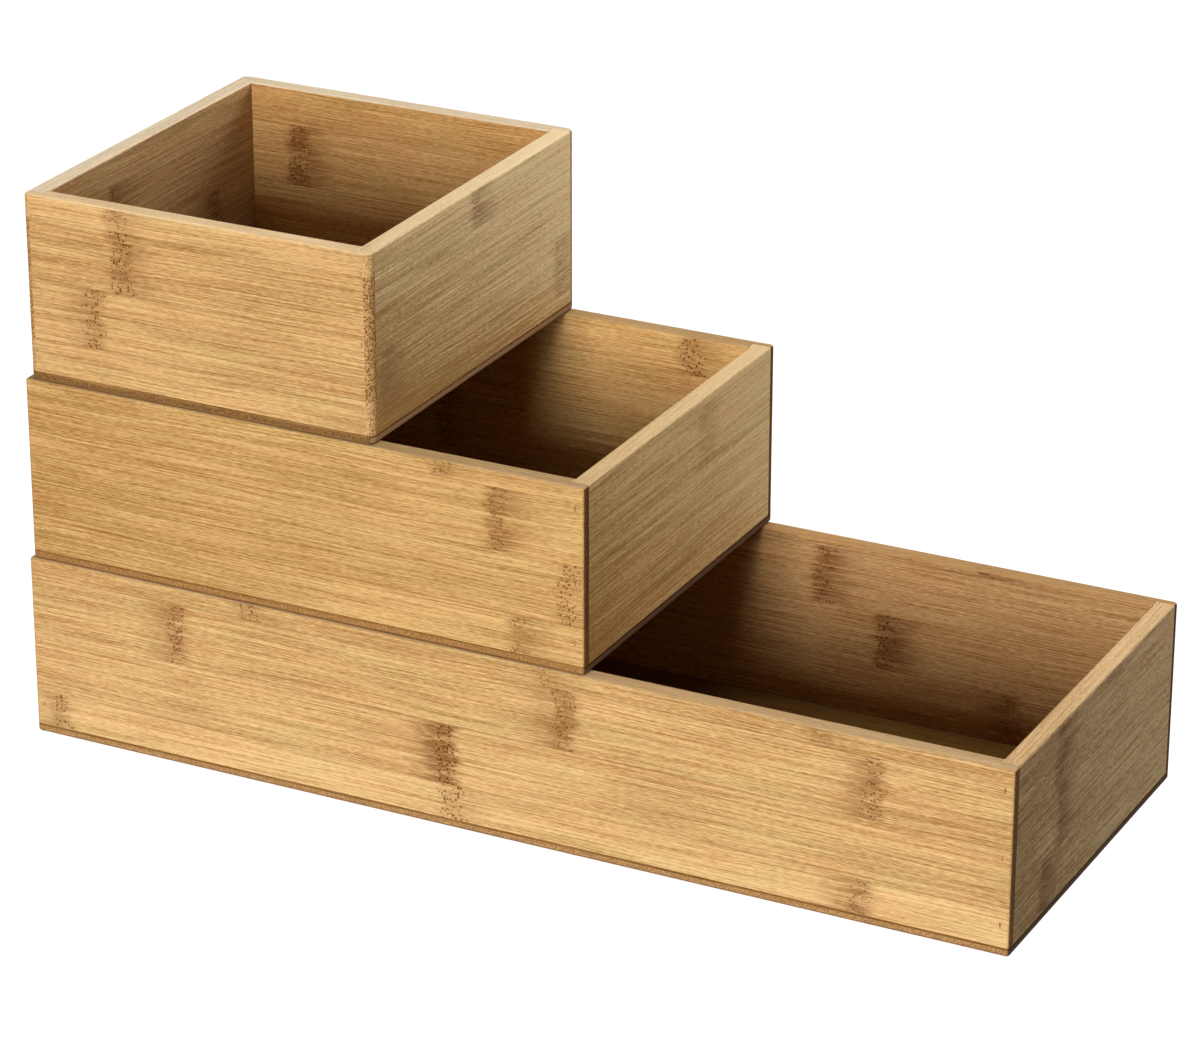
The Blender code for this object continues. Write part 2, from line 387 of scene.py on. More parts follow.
        # Faces that show end grain are darker, and dotted with the fibres' own ends, fewer of them in a pale strip
        facing = bench.facing()
        end = bench.fade(bench.math("ABSOLUTE", facing[self.grain.value[0]]), *tones.end_slant)
        tip_gap, tip_mark = bench.cells(bench.scaled(run, (1.5, 1.6, 1.5)))
        fresh = bench.fade(tone, 0.55, 0.64)
        tip = bench.times(bench.fade(tip_gap, 0.70, 0.34), bench.fade(tip_mark, 0.0, 0.6, 0.45, 0.95),
                          bench.math("MULTIPLY_ADD", fresh, -0.4, 1.0))
        sawn = bench.mix(fresh, bench.mix(0.3, tones.end, tones.end_dot), tones.end)
        colour = bench.mix(end, colour, bench.mix(tip, sawn, tones.end_dot))

        # The board's tint: its own shade, with painted light and shade on whole boards. Upward faces: the paler sanded
        # rim with painted top light and sheen on walls, and the floor colour inside a base panel, painted shade or
        # light
        colour = bench.mix(1.0, colour, bench.shade("board_tone_and_painted_light"), "MULTIPLY")
        upward_painted_light_mask = bench.fade(facing[2], 0.35, 0.9)
        if self.grain in (Grain.WALL_ALONG_X, Grain.WALL_ALONG_Y):
            rim = bench.mix(1.0, bench.mix(light, tones.rim_deep_with_painted_light, tones.rim_pale_with_painted_light), bench.shade("rim"), "MULTIPLY")
            colour = bench.mix(bench.times(upward_painted_light_mask, 0.9), colour, rim)
        else:
            colour = bench.mix(upward_painted_light_mask, colour, tones.floor, "MULTIPLY")

        rough = bench.plus(bench.fade(fibre, 0.3, 0.7, 0.62, 0.48), bench.times(bench.math("MAXIMUM", dot, end), 0.2))
        raised = bench.plus(bench.times(fibre, 0.6), bench.times(dash, 0.25))
        sunk = bench.plus(bench.times(vein, 0.35), bench.times(seam, 0.5), bench.times(dot, 0.3))
        return bench.dress(colour, rough, self.gloss, bench.math("SUBTRACT", raised, sunk), self.relief_mm)


@dataclass(frozen=True)
class PlyEdgeFinish:
    """The sawn core of a base panel, where fibre ends show as short dark ticks, its sides across X darkened with side
    grain and painted shade.
    """

    name: str
    grain: Grain
    ground: Colour
    tick: Colour
    # The core's sides across X: side grain darkened with painted shade
    flank_grain_and_painted_shade: Colour
    gloss: float = 0.05
    relief_mm: float = 0.08

    def build(self) -> Material:
        """Make the material.

        Returns:
            The material.
        """
        bench = MaterialBench(self.name)
        place = bench.place()
        run = tuple(place[axis] for axis in self.grain.value)
        gap, mark = bench.cells(bench.scaled(run, (0.06, 1.1, 1.1)))
        swell = bench.noise(bench.scaled(run, (0.02, 0.15, 1.0)), 3)
        tick = bench.times(bench.fade(gap, 0.45, 0.15), bench.fade(mark, 0.1, 0.7))
        speck = bench.noise(bench.scaled(run, (0.6, 1.2, 1.2)))
        colour = bench.mix(bench.fade(swell, 0.3, 0.7, 0.0, 0.35), self.ground, self.tick)
        colour = bench.mix(bench.times(tick, 0.7), colour, self.tick)
        colour = bench.mix(bench.fade(speck, 0.4, 0.62, 0.0, 0.7), colour, self.tick)
        # Sides facing along X take the flank colour: side grain with painted shade
        colour = bench.mix(bench.fade(bench.math("ABSOLUTE", bench.facing()[0]), 0.4, 0.8), colour, self.flank_grain_and_painted_shade)
        return bench.dress(colour, bench.fade(swell, 0.3, 0.7, 0.6, 0.75), self.gloss,
                           bench.math("SUBTRACT", swell, tick), self.relief_mm)


@dataclass(frozen=True)
class GlueFinish:
    """Dried glue in a joint, darkened by dust."""

    name: str
    fresh: Colour
    dusty: Colour
    gloss: float = 0.25
    relief_mm: float = 0.05

    def build(self) -> Material:
        """Make the material.

        Returns:
            The material.
        """
        bench = MaterialBench(self.name)
        swell = bench.noise(bench.scaled(bench.place(), (0.12, 0.12, 1.0)), 3)
        colour = bench.mix(bench.fade(swell, 0.35, 0.65), self.fresh, self.dusty)
        return bench.dress(colour, bench.fade(swell, 0.3, 0.7, 0.35, 0.6), self.gloss, swell, self.relief_mm)


@dataclass(frozen=True)
class FillerFinish:
    """Wood filler over the brads' heads, browner where it has taken more dust."""

    name: str = "nail_filler"
    clean: Colour = (0.52, 0.315, 0.125)
    brown: Colour = (0.20, 0.085, 0.03)
    gloss: float = 0.3
    relief_mm: float = 0.04

    def build(self) -> Material:
        """Make the material.

        Returns:
            The material, which reads how brown each plug is from its faces' "age" mark.
        """
        bench = MaterialBench(self.name)
        speck = bench.noise(bench.scaled(bench.place(), (4.0, 4.0, 2.0)), 3)
        age, _, _ = bench.attribute("age")
        share = bench.plus(age, bench.math("MULTIPLY_ADD", speck, 0.4, -0.2))
        colour = bench.mix(share, self.clean, self.brown)
        return bench.dress(colour, bench.fade(speck, 0.3, 0.7, 0.65, 0.8), self.gloss, speck, self.relief_mm)


@dataclass(frozen=True)
class BradFinish:
    """Drawn steel, oxidised brown where the head sits below the wood."""

    name: str = "tarnished_steel"
    bare: Colour = (0.42, 0.38, 0.33)
    oxide: Colour = (0.13, 0.065, 0.03)
    gloss: float = 0.5
    relief_mm: float = 0.03

    def build(self) -> Material:
        """Make the material.

        Returns:
            The material.
        """
        bench = MaterialBench(self.name)
        place = bench.place()
        bloom = bench.noise(bench.scaled(place, (2.2, 0.6, 2.2)), 4, 0.6)
        drawn = bench.noise(bench.scaled(place, (9.0, 0.4, 9.0)))
        rust = bench.fade(bloom, 0.30, 0.55)
        bench.feed(bench.shader.inputs["Metallic"], bench.fade(rust, 0.0, 1.0, 0.9, 0.25))
        rough = bench.plus(bench.fade(rust, 0.0, 1.0, 0.38, 0.75), bench.times(drawn, 0.08))
        return bench.dress(bench.mix(rust, self.bare, self.oxide), rough, self.gloss,
                           bench.plus(bench.times(drawn, 0.5), bloom), self.relief_mm)


# ---------------------------------------------------------------- boards


@dataclass(frozen=True)
class Knot:
    """A knot of one strip: where it crosses it, its stain, the side that it leans to, and its pores."""

    strip: int
    at: float
    stain: float
    lean: float
    pores: float


NO_KNOT = Knot(0, 1e4, 0.0, 1.0, 0.0)


@dataclass(frozen=True)
class Layup:
    """The strips of one board, by the seams between them, and their knots, in millimetres.

    Tint is the board's own shade on its faces, with painted light and shade that make whole boards lighter or
    darker, and rim is the colour of its sanded rim, with painted top light and sheen. Strips are the strips' tones
    against the board's, or else each is drawn within the spread. The slope is painted light and shade: how much
    paler the board gets over 100 mm along and across. Figure is how strong its fibres show.
    """

    seams: tuple[float, ...]
    knots: tuple[Knot, ...]
    seed: int
    # The board's own shade, with painted light and shade that lighten or darken the whole board
    board_tone_and_painted_light: Colour = (1.0, 1.0, 1.0)
    # The sanded rim's colour, with painted top light and sheen
    rim: Colour = (0.9, 0.8, 0.65)
    strips: tuple[float, ...] = ()
    # A slope of painted light and shade, paler or darker along and across the board
    painted_light_slope: tuple[float, float] = (0.0, 0.0)
    figure: float = 1.0
    tone: float = 0.5
    spread: float = 0.09
    strip_width: float = 23.0

    def mark(self, bm: BMesh, grain: Grain, datum: float) -> None:
        """Cut the mesh along the seams and midway between knots, and give each face its marks.

        Args:
            bm: The board's mesh, in place.
            grain: How the board's fibres and strips lie.
            datum: Where the seams are measured from, in metres.
        """
        along, across, _ = grain.value
        dice = random.Random(self.seed)
        lines = [datum + seam * MM for seam in self.seams]
        for line in lines:
            cut_across(bm, bm.faces[:], AXES[across], line)
        ends = [-math.inf, *lines, math.inf]
        names = ("strip", "knot", "growth", "board_tone_and_painted_light", "rim", "painted_light_slope")
        layers = [bm.faces.layers.float_vector.new(name) for name in names]
        shades = (self.board_tone_and_painted_light, self.rim, (self.painted_light_slope[0] / 100, self.painted_light_slope[1] / 100, 0.0))
        spans = [[vert.co[axis] / MM for vert in bm.verts] for axis in (along, across)]
        level = self.tone - sum(rise / 100 * (min(span) + max(span)) / 2 for rise, span in zip(self.painted_light_slope, spans))
        for index, (low, high) in enumerate(zip(ends, ends[1:])):
            knots = sorted((knot for knot in self.knots if knot.strip == index), key=lambda knot: knot.at) or [NO_KNOT]
            for first, second in zip(knots, knots[1:]):
                middle = (first.at + second.at) / 2 * MM
                cut_across(bm, [face for face in bm.faces if low < face.calc_center_median()[across] < high],
                           AXES[along], middle)
            bottom = low / MM if low > -math.inf else high / MM - self.strip_width
            top = high / MM if high < math.inf else low / MM + self.strip_width
            tone = level + (self.strips[index] if self.strips else dice.uniform(-self.spread, self.spread))
            seed = dice.random()
            for face in bm.faces:
                middle = face.calc_center_median()
                if not low < middle[across] < high:
                    continue
                knot = min(knots, key=lambda item: abs(item.at - middle[along] / MM))
                marks = ((bottom, top, tone), (knot.at, knot.stain, knot.lean), (knot.pores, seed, self.figure))
                for layer, mark in zip(layers, (*marks, *shades)):
                    face[layer] = mark


def cut_across(bm: BMesh, faces: list[BMFace], axis: Vector, at: float) -> None:
    """Cut some faces where a plane across an axis meets them."""
    geometry = {item for face in faces for item in (face, *face.edges, *face.verts)}
    bmesh.ops.bisect_plane(bm, geom=list(geometry), dist=ON_THE_CUT, plane_co=axis * at, plane_no=axis)


def middle_of(edge: BMEdge) -> Vector:
    """The point halfway along an edge."""
    return (edge.verts[0].co + edge.verts[1].co) / 2


def is_upright(edge: BMEdge) -> bool:
    """Whether an edge runs along Z."""
    run = edge.verts[1].co - edge.verts[0].co
    return abs(run.z) > abs(run.x) + abs(run.y)


def ease(bm: BMesh, edges: list[BMEdge], radius: float, segments: int) -> None:
    """Round the edges to a radius."""
    bmesh.ops.bevel(bm, geom=edges, offset=radius, offset_type="OFFSET", affect="EDGES", segments=segments,
                    profile=0.5, material=-1, clamp_overlap=True)


def extrude_up(bm: BMesh, faces: list[BMFace], rise: float) -> None:
    """Extrude faces upwards."""
    raised = bmesh.ops.extrude_face_region(bm, geom=faces)["geom"]
    moved = [item for item in raised if isinstance(item, BMVert)]
    bmesh.ops.translate(bm, verts=moved, vec=(0.0, 0.0, rise))


def raise_outline(bm: BMesh, outline: list[tuple[float, float]], bottom: float, top: float) -> None:
    """Extrude an outline seen from above, from one height to another."""
    face = bm.faces.new([bm.verts.new((x, y, bottom)) for x, y in outline])
    extrude_up(bm, [face], top - bottom)


def add_block(bm: BMesh, size: Place, centre: Place) -> list[BMVert]:
    """Add a block to a mesh, and give its vertices."""
    made = bmesh.ops.create_cube(bm, size=1.0)["verts"]
    bmesh.ops.scale(bm, vec=size, verts=made)
    bmesh.ops.translate(bm, vec=centre, verts=made)
    return made


def object_from(bm: BMesh, name: str, *finishes: Material) -> Piece:
    """Turn a bmesh into an object of the scene in these finishes, its faces outwards."""
    bmesh.ops.recalc_face_normals(bm, faces=bm.faces)
    mesh = bpy.data.meshes.new(name)
    bm.to_mesh(mesh)
    bm.free()
    for finish in finishes:
        mesh.materials.append(finish)
    made = bpy.data.objects.new(name, mesh)
    bpy.context.scene.collection.objects.link(made)
    return made


def take_out(piece: Piece, cutters: list[Piece]) -> BMesh:
    """Cut the cutters' volumes out of a piece, and remove the piece.

    Args:
        piece: What is cut.
        cutters: What is taken out of it.

    Returns:
        The mesh that is left.
    """
    for cutter in cutters:
        modifier = piece.modifiers.new(cutter.name, "BOOLEAN")
        modifier.operation = "DIFFERENCE"
        modifier.solver = "EXACT"
        modifier.object = cutter
    bpy.context.view_layer.update()
    result = bpy.data.meshes.new_from_object(piece.evaluated_get(bpy.context.evaluated_depsgraph_get()))
    bm = bmesh.new()
    bm.from_mesh(result)
    bpy.data.meshes.remove(result)
    bpy.data.objects.remove(piece)
    return bm


@dataclass(frozen=True)
class Block:
    """An upright block over a brad's head: its width and height, and its two depths below the wall's face.

    A depth of less than zero stands proud of the face.
    """

    width: float
    height: float
    top: float
    bottom: float


@dataclass
class OpenBox:
    """One box: four lapped walls on a base panel, glued and nailed."""

    name: str
    corner_round: float
    layups: dict[Side, Layup]
    base_layup: Layup
    tones: BambooTones
    ply: tuple[Colour, Colour, Colour]
    glue_tones: tuple[Colour, Colour]
    filler_age: dict[str, float] = field(default_factory=dict)
    lip: float = 3.2 * MM
    wall: float = 7 * MM
    base: float = 3.2 * MM
    glue: float = 0.12 * MM
    rim_ease: float = 1.0 * MM
    base_ease: float = 1.1 * MM
    overrun: float = 2 * MM
    corner_steps: int = 8
    ease_steps: int = 6
    plies: tuple[float, float] = (0.8 * MM, 2.5 * MM)
    glue_inset: float = 0.2 * MM
    glue_sink: float = 0.05 * MM
    slot: Block = Block(0.6 * MM, 1.8 * MM, -0.45 * MM, 0.42 * MM)
    plug: Block = Block(0.56 * MM, 1.76 * MM, 0.05 * MM, 0.38 * MM)
    plug_ease: float = 0.08 * MM
    plug_age: float = 0.12

    def __post_init__(self) -> None:
        """Read the box's place and outer size from its nodes."""
        low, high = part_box(f"{self.name}_base_panel")
        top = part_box(f"{self.name}_front_wall")[1][2]
        self.centre = Vector(((low[0] + high[0]) / 2, 0.0, low[2]))
        self.half_length = (high[0] - low[0]) / 2
        self.half_depth = (high[1] - low[1]) / 2
        self.height = top - low[2]

    def build(self) -> None:
        """Make the box's pieces."""
        rim = self.rim_cutter()
        long_finish = BambooFinish(f"{self.name}_long_bamboo", Grain.WALL_ALONG_X, self.tones).build()
        side_finish = BambooFinish(f"{self.name}_side_bamboo", Grain.WALL_ALONG_Y, self.tones).build()
        for side in Side:
            long = side in (Side.FRONT, Side.BACK)
            self.wall_board(side, rim, long, long_finish if long else side_finish)
        bpy.data.objects.remove(rim)
        self.base_panel()
        self.glue_line()
        self.fill_slots()
        self.dress_brads()

    def adopt(self, piece: Piece, slot: str, *nodes: str) -> None:
        """Make a piece ride on the box and stand for its nodes."""
        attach(piece, self.name)
        if nodes:
            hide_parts(*nodes)
        LOG.info("%s: %d faces", piece.name, len(piece.data.polygons))

    def rim_cutter(self) -> Piece:
        """What sanding takes off the inner rim: the hollow's mouth, flared along a quarter round."""
        width, depth = self.half_length - self.wall, self.half_depth - self.wall
        start = self.height - self.rim_ease
        bm = bmesh.new()
        add_block(bm, (2 * width - self.overrun, 2 * depth - self.overrun, self.overrun), (0, 0, start - self.overrun))
        mouth = max(bm.faces, key=lambda face: face.calc_center_median().z)
        turns = [step / self.ease_steps * math.pi / 2 for step in range(self.ease_steps + 1)]
        rings = [(start + self.rim_ease * math.sin(turn), self.rim_ease * (1 - math.cos(turn))) for turn in turns]
        for z, flare in [*rings, (self.height + self.overrun, self.rim_ease)]:
            raised = bmesh.ops.extrude_face_region(bm, geom=[mouth])["geom"]
            bmesh.ops.delete(bm, geom=[mouth], context="FACES_ONLY")
            mouth = next(item for item in raised if isinstance(item, BMFace))
            for vert in mouth.verts:
                vert.co = Vector((math.copysign(width + flare, vert.co.x), math.copysign(depth + flare, vert.co.y), z))
        bmesh.ops.translate(bm, vec=self.centre, verts=bm.verts)
        return object_from(bm, f"{self.name}_mouth")

    def brads(self, *sides: Side) -> list[str]:
        """The nodes of the brads through these walls."""
        prefixes = tuple(f"{self.name}_brad_{side.value[0]}_" for side in sides)
        return sorted(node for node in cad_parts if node.startswith(prefixes))

    def slot_blocks(self, side: Side, block: Block) -> BMesh:
        """Make a block over the head of each brad of a wall.

        Args:
            side: The wall.
            block: The block's size and depths.

        Returns:
            The blocks, with each one's faces marked with its filler's age.
        """
        bm = bmesh.new()
        age_mark = bm.faces.layers.float_vector.new("age")
        outward = -1.0 if side is Side.FRONT else 1.0
        for node in self.brads(side):
            low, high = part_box(node)
            middle = outward * (self.half_depth - (block.top + block.bottom) / 2)
            made = add_block(bm, (block.width, block.bottom - block.top, block.height),
                             ((low[0] + high[0]) / 2, middle, (low[2] + high[2]) / 2))
            place = node.removeprefix(f"{self.name}_brad_")
            for face in {face for vert in made for face in vert.link_faces}:
                face[age_mark] = (self.filler_age.get(place, self.plug_age), 0.0, 0.0)
        return bm

    def brad_slots(self, side: Side) -> Piece:
        """Make the cutter of the narrow slots that the brads' heads went in through."""
        return object_from(self.slot_blocks(side, self.slot), f"{self.name}_{side.value[0]}_slots")

    def fill_slots(self) -> None:
        """Make the filler in the slots, a hair below the wood."""
        for side in (Side.FRONT, Side.BACK):
            bm = self.slot_blocks(side, self.plug)
            ease(bm, bm.edges[:], self.plug_ease, 2)
            filler = object_from(bm, f"{self.name}_{side.value[0]}_filler", self.shared(FillerFinish()))
            self.adopt(filler, "wall_bamboo")

    def long_outline(self) -> list[tuple[float, float]]:
        """The front wall seen from above, rabbeted at both ends down to its lip."""
        half, outer = self.half_length, -self.half_depth
        lap, inner, tongue = outer + self.lip, outer + self.wall, half - self.wall - self.glue
        return [(-half, outer), (half, outer), (half, lap), (tongue, lap),
                (tongue, inner), (-tongue, inner), (-tongue, lap), (-half, lap)]

    def side_outline(self) -> list[tuple[float, float]]:
        """The right wall seen from above."""
        outer, end = self.half_length, self.half_depth - self.lip - self.glue
        return [(outer - self.wall, -end), (outer, -end), (outer, end), (outer - self.wall, end)]

    def wall_board(self, side: Side, rim: Piece, long: bool, finish: Material) -> None:
        """Make one wall.

        Args:
            side: Which wall it is.
            rim: The cutter of the box's inner rim.
            long: Whether it is the front or back wall.
            finish: Its bamboo.
        """
        bm = bmesh.new()
        raise_outline(bm, self.long_outline() if long else self.side_outline(), self.base + self.glue, self.height)
        front = -self.half_depth
        if long:
            corners = [edge for edge in bm.edges if is_upright(edge) and middle_of(edge).y < front + self.lip / 2]
            ease(bm, corners, self.corner_round, self.corner_steps)
        upper = [edge for edge in bm.edges if middle_of(edge).z > self.height - TOUCH]
        if long:
            outer = [edge for edge in upper if middle_of(edge).y < front + self.lip - TOUCH]
        else:
            outer = [edge for edge in upper if middle_of(edge).x > self.half_length - self.wall / 4]
        ease(bm, outer, self.rim_ease, self.ease_steps)
        bm.transform(Matrix.Translation(self.centre) @ Matrix.Rotation(side.value[1], 4, "Z"))
        name = f"{self.name}_{side.value[0]}_board"
        cutters = [rim]
        if long:
            cutters.append(self.brad_slots(side))
        bm = take_out(object_from(bm, name), cutters)
        for slots in cutters[1:]:
            bpy.data.objects.remove(slots)
        grain = Grain.WALL_ALONG_X if long else Grain.WALL_ALONG_Y
        self.layups[side].mark(bm, grain, self.centre.z)
        board = self.smooth(object_from(bm, name, finish))
        self.adopt(board, "wall_bamboo", f"{self.name}_{side.value[0]}_wall")

    @staticmethod
    def smooth(piece: Piece) -> Piece:
        """Shade a piece smooth over its eased edges and flat elsewhere."""
        bm = bmesh.new()
        bm.from_mesh(piece.data)
        for face in bm.faces:
            face.smooth = True
        for edge in bm.edges:
            edge.smooth = len(edge.link_faces) == 2 and edge.calc_face_angle(0.0) < SHARP_ANGLE
        bm.to_mesh(piece.data)
        bm.free()
        weights = piece.modifiers.new("weighted_normals", "WEIGHTED_NORMAL")
        weights.keep_sharp = True
        return piece

    def base_panel(self) -> None:
        """Make the three-ply base panel, with its lower edges eased."""
        bm = bmesh.new()
        add_block(bm, (2 * self.half_length, 2 * self.half_depth, self.base), (0, 0, self.base / 2))
        ease(bm, [edge for edge in bm.edges if is_upright(edge)], self.corner_round, self.corner_steps)
        ease(bm, [edge for edge in bm.edges if middle_of(edge).z < self.base / 4], self.base_ease, self.ease_steps)
        for height in self.plies:
            cut_across(bm, bm.faces[:], AXES[2], height)
        for face in bm.faces:
            face.material_index = int(self.plies[0] < face.calc_center_median().z < self.plies[1])
        bmesh.ops.translate(bm, vec=self.centre, verts=bm.verts)
        self.base_layup.mark(bm, Grain.PANEL_ALONG_X, 0.0)
        bamboo = BambooFinish(f"{self.name}_base_bamboo", Grain.PANEL_ALONG_X, self.tones).build()
        core = PlyEdgeFinish(f"{self.name}_base_core", Grain.PANEL_ALONG_Y, *self.ply).build()
        panel = self.smooth(object_from(bm, f"{self.name}_base_board", bamboo, core))
        self.adopt(panel, "base_bamboo", f"{self.name}_base_panel")

    def glue_line(self) -> None:
        """Make the line of glue between the base and the walls, a little in from their faces."""
        inset = self.glue_inset
        half_x, half_y = (half - inset - self.corner_round / 3 for half in (self.half_length, self.half_depth))
        bm = bmesh.new()
        ring = bmesh.ops.create_grid(bm, x_segments=1, y_segments=1, size=1.0)["verts"]
        bmesh.ops.scale(bm, vec=(half_x, half_y, 1.0), verts=ring)
        bmesh.ops.translate(bm, vec=(0, 0, self.base - self.glue_sink), verts=ring)
        face = bm.faces[:][0]
        bmesh.ops.inset_individual(bm, faces=[face], thickness=self.wall - inset * 2, use_even_offset=True)
        bmesh.ops.delete(bm, geom=[face], context="FACES")
        extrude_up(bm, bm.faces[:], self.glue + 2 * self.glue_sink)
        bmesh.ops.translate(bm, vec=self.centre, verts=bm.verts)
        glue = GlueFinish(f"{self.name}_glue", *self.glue_tones).build()
        self.adopt(object_from(bm, f"{self.name}_glue_line", glue), "base_bamboo")

    def dress_brads(self) -> None:
        """Give the brads their finish."""
        steel = self.shared(BradFinish())
        brads = self.brads(Side.FRONT, Side.BACK)
        for node in brads:
            for slot in bpy.data.objects[node].material_slots:
                slot.link = "OBJECT"
                slot.material = steel
        LOG.info("%s: %d brads", self.name, len(brads))

    @staticmethod
    def shared(finish: FillerFinish | BradFinish) -> Material:
        """Give a finish that several boxes share, made once."""
        return bpy.data.materials.get(finish.name) or finish.build()


# ---------------------------------------------------------------- studio


@dataclass(frozen=True)
class Softbox:
    """A flat light: where it stands, what it looks at, its size and its light."""

    name: str
    at: Place
    aim: Place
    size: tuple[float, float]
    power: float

    def build(self, spared: bpy.types.Collection) -> None:
        """Hang the light, so that it spares the floor.

        Args:
            spared: What the light leaves alone.
        """
        data = bpy.data.lights.new(self.name, "AREA")
        data.shape = "RECTANGLE"
        data.size, data.size_y = self.size
        data.energy = self.power
        lamp = bpy.data.objects.new(self.name, data)
        lamp.location = self.at
        lamp.rotation_euler = (Vector(self.aim) - Vector(self.at)).to_track_quat("-Z", "Y").to_euler()
        lamp.visible_camera = False
        lamp.light_linking.receiver_collection = spared
        bpy.context.scene.collection.objects.link(lamp)


@dataclass(frozen=True)
class Studio:
    """The pale floor, the room's light, the softboxes and the camera."""

    azimuth: float = 26.829
    elevation: float = 23.242
    roll: float = 0.076
    at: Place = (0.68002, -1.34279, 0.73738)
    lens: float = 139.54
    room: dict[str, float] = field(default_factory=lambda: {
        "left": 0.12, "right": 0.0, "front": 0.0, "back": 0.85, "below": 0.55, "above": 0.05})
    floor_radius: float = 6.0
    floor_drop: float = 0.1 * MM
    floor_greys: tuple[float, float] = (0.90, 0.93)
    floor_light: float = 3.35
    softboxes: tuple[Softbox, ...] = (
        Softbox("key_light", (0.0, -1.88, 0.50), (0.0, 0.0, 0.08), (0.42, 0.68), 38.5),
        Softbox("back_light", (0.5, 1.3, 1.25), (0.0, 0.0, 0.1), (1.6, 0.9), 10.0),
        Softbox("side_light", (0.9, 0.6, 0.5), (0.0, 0.0, 0.1), (0.4, 0.4), 3.6),
        Softbox("top_light", (-0.05, 0.1, 1.3), (-0.05, 0.0, 0.1), (0.9, 0.9), 3.8),
    )

    def build(self) -> None:
        """Set up the studio."""
        bpy.context.scene.view_settings.view_transform = "Standard"
        floor = self.floor()
        self.light_floor(floor)
        self.light_room()
        spared = self.only(floor, "all_but_floor")
        spared.collection_objects[0].light_linking.link_state = "EXCLUDE"
        for softbox in self.softboxes:
            softbox.build(spared)
        self.camera()

    @staticmethod
    def only(piece: Piece, name: str) -> bpy.types.Collection:
        """A collection that holds one object."""
        collection = bpy.data.collections.new(name)
        collection.objects.link(piece)
        return collection

    def light_floor(self, floor: Piece) -> None:
        """Light the floor evenly from above, with a light that reaches nothing else."""
        data = bpy.data.lights.new("floor_light", "SUN")
        data.energy = self.floor_light
        data.angle = math.radians(40)
        data.use_shadow = False
        lamp = bpy.data.objects.new("floor_light", data)
        lamp.light_linking.receiver_collection = self.only(floor, "floor_only")
        bpy.context.scene.collection.objects.link(lamp)

    def floor(self) -> Piece:
        """Lay the pale floor.

        Returns:
            The floor.
        """
        bm = bmesh.new()
        bmesh.ops.create_circle(bm, cap_ends=True, segments=96, radius=self.floor_radius)
        bmesh.ops.translate(bm, vec=(0, 0, -self.floor_drop), verts=bm.verts)
        floor = object_from(bm, "pale_floor")
        bench = MaterialBench("pale_paper")
        grain = bench.noise(bench.scaled(bench.place(), (0.01, 0.01, 0.0)))
        bench.feed(bench.shader.inputs["Base Color"], bench.mix(grain, *((grey,) * 3 for grey in self.floor_greys)))
        bench.shader.inputs["Roughness"].default_value = 0.9
        bench.shader.inputs["Specular IOR Level"].default_value = 0.1
        floor.data.materials.append(bench.material)
        floor.visible_diffuse = False
        floor.visible_glossy = False
        return floor

    def light_room(self) -> None:
        """Fill the room with soft light of its own colour from each side."""
        world = bpy.data.worlds.new("room")
        bpy.context.scene.world = world
        world.use_nodes = True
        world.node_tree.nodes.clear()
        bench = Bench(world.node_tree)
        way = bench.split(bench.add("ShaderNodeTexCoord").outputs["Generated"])
        glows = []
        for axis, names in enumerate((("left", "right"), ("front", "back"), ("below", "above"))):
            for sign, name in zip((-1.0, 1.0), names):
                reach = bench.add("ShaderNodeMath", {0: way[axis], 1: sign}, operation="MULTIPLY", use_clamp=True)
                glows.append(bench.times(bench.math("POWER", reach.outputs[0], 2.0), self.room[name]))
        lit = bench.add("ShaderNodeBackground", {0: bench.plus(*glows)}).outputs[0]
        seen = bench.add("ShaderNodeBackground", {0: (1.0, 1.0, 1.0)}).outputs[0]
        by_camera = bench.add("ShaderNodeLightPath").outputs["Is Camera Ray"]
        mixed = bench.add("ShaderNodeMixShader", {0: by_camera, 1: lit, 2: seen}).outputs[0]
        bench.add("ShaderNodeOutputWorld", {0: mixed})

    def camera(self) -> None:
        """Set the camera where the photograph was taken from."""
        turn, tilt = math.radians(self.azimuth), math.radians(self.elevation)
        ahead = Vector((-math.sin(turn) * math.cos(tilt), math.cos(turn) * math.cos(tilt), -math.sin(tilt)))
        data = bpy.data.cameras.new("camera")
        data.lens = self.lens
        data.sensor_width = 36.0
        data.sensor_fit = "HORIZONTAL"
        data.clip_end = 50.0
        camera = bpy.data.objects.new("camera", data)
        aimed = ahead.to_track_quat("-Z", "Y").to_matrix().to_4x4()
        camera.matrix_world = Matrix.Translation(self.at) @ aimed @ Matrix.Rotation(math.radians(self.roll), 4, "Z")
        bpy.context.scene.collection.objects.link(camera)
        bpy.context.scene.camera = camera


# ---------------------------------------------------------------- the stack

# The boards' tints, rim colours and slopes below hold painted light and shade as well as the wood's own tone
BASE_SEAMS = (-64.0, -41.0, -18.0, 5.0, 28.0, 51.0)


